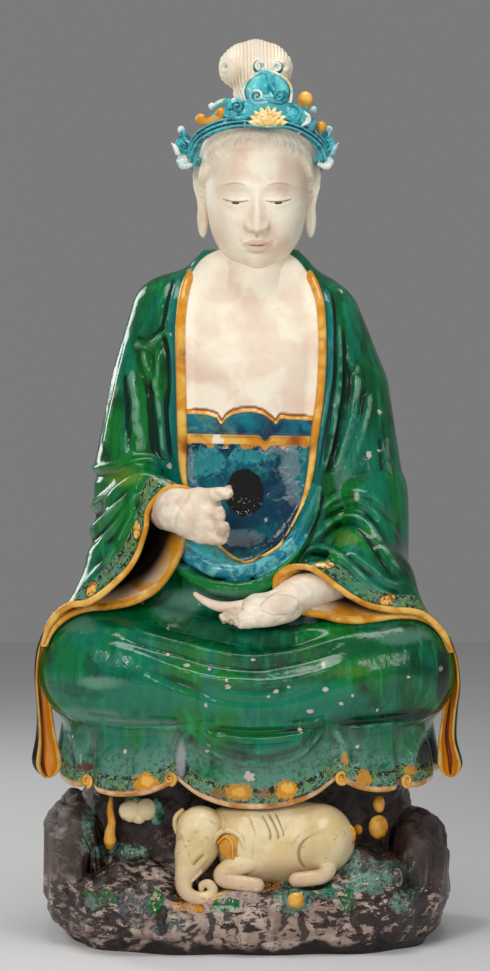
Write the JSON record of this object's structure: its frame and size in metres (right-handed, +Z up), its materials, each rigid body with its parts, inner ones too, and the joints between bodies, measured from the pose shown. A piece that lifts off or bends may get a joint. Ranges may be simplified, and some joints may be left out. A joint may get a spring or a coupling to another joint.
{
  "type": "seated bodhisattva figure",
  "caption": "Glazed stoneware figure seated cross-legged in a long robe and openwork crown, fixed on a rock plinth with a kneeling elephant.",
  "frame": {"origin": "on the ground under the middle of the work", "axes": "+Z up, the figure faces -Y, +X to the right of someone who faces it"},
  "size_m": [0.5064, 0.3548, 1.0729],
  "materials": {
    "green_glaze": "thick glossy lead glaze in green, amber and turquoise over buff stoneware, with unglazed cream skin",
    "rock_glaze": "worn dark glaze over pinkish stoneware, with splashes of green and amber and a cream elephant"
  },
  "bodies": {
    "root": {"seated_figure": "green_glaze", "rock_plinth": "rock_glaze"}
  },
  "joints": []
}
